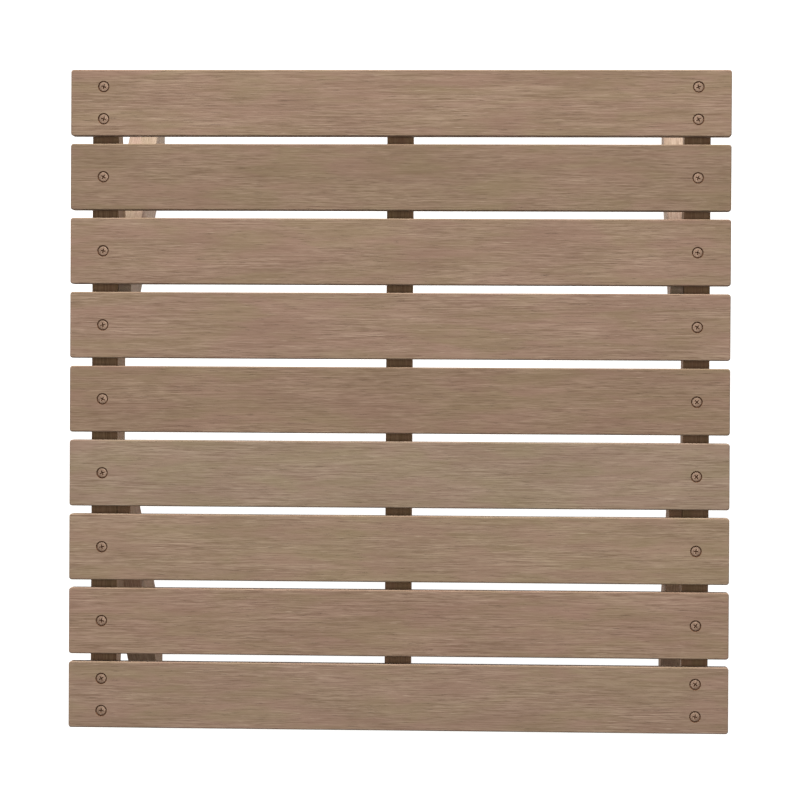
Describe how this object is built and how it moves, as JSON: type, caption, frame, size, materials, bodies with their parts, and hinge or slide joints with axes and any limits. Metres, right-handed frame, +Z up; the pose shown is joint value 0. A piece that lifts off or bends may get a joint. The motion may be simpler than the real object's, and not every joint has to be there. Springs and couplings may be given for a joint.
{
  "type": "slatted wooden low stool",
  "caption": "Low wooden stool or bath bench with a square top of parallel slats, side rails, splayed legs and stretchers.",
  "frame": {"origin": "on the floor, under the centre of the square top", "axes": "+X along the slats, +Y across the slats from the front pair of legs to the back pair, +Z up"},
  "size_m": [0.5, 0.5, 0.21],
  "materials": {
    "slat_wood": "grey-brown washed wood, fine brushed grain, satin",
    "rail_wood": "grey-brown washed wood, planed, satin",
    "batten_wood": "grey-brown washed wood, planed, satin",
    "leg_wood": "grey-brown washed wood, satin",
    "stretcher_wood": "grey-brown washed wood, satin",
    "screw_steel": "dull warm-toned steel, countersunk heads with a cross recess"
  },
  "bodies": {
    "root": {"batten_screw_1": "screw_steel", "batten_screw_2": "screw_steel", "batten_screw_3": "screw_steel", "batten_screw_4": "screw_steel", "batten_screw_5": "screw_steel", "batten_screw_6": "screw_steel", "batten_screw_7": "screw_steel", "batten_screw_8": "screw_steel", "batten_screw_9": "screw_steel", "centre_batten": "batten_wood", "leg_back_left": "leg_wood", "leg_back_right": "leg_wood", "leg_front_left": "leg_wood", "leg_front_right": "leg_wood", "leg_screw_1": "screw_steel", "leg_screw_2": "screw_steel", "leg_screw_3": "screw_steel", "leg_screw_4": "screw_steel", "leg_screw_5": "screw_steel", "leg_screw_6": "screw_steel", "leg_screw_7": "screw_steel", "leg_screw_8": "screw_steel", "rail_left": "rail_wood", "rail_right": "rail_wood", "slat_1": "slat_wood", "slat_2": "slat_wood", "slat_3": "slat_wood", "slat_4": "slat_wood", "slat_5": "slat_wood", "slat_6": "slat_wood", "slat_7": "slat_wood", "slat_8": "slat_wood", "slat_9": "slat_wood", "slat_screw_01": "screw_steel", "slat_screw_02": "screw_steel", "slat_screw_03": "screw_steel", "slat_screw_04": "screw_steel", "slat_screw_05": "screw_steel", "slat_screw_06": "screw_steel", "slat_screw_07": "screw_steel", "slat_screw_08": "screw_steel", "slat_screw_09": "screw_steel", "slat_screw_10": "screw_steel", "slat_screw_11": "screw_steel", "slat_screw_12": "screw_steel", "slat_screw_13": "screw_steel", "slat_screw_14": "screw_steel", "slat_screw_15": "screw_steel", "slat_screw_16": "screw_steel", "slat_screw_17": "screw_steel", "slat_screw_18": "screw_steel", "slat_screw_19": "screw_steel", "slat_screw_20": "screw_steel", "slat_screw_21": "screw_steel", "slat_screw_22": "screw_steel", "stretcher_back": "stretcher_wood", "stretcher_front": "stretcher_wood"}
  },
  "joints": []
}
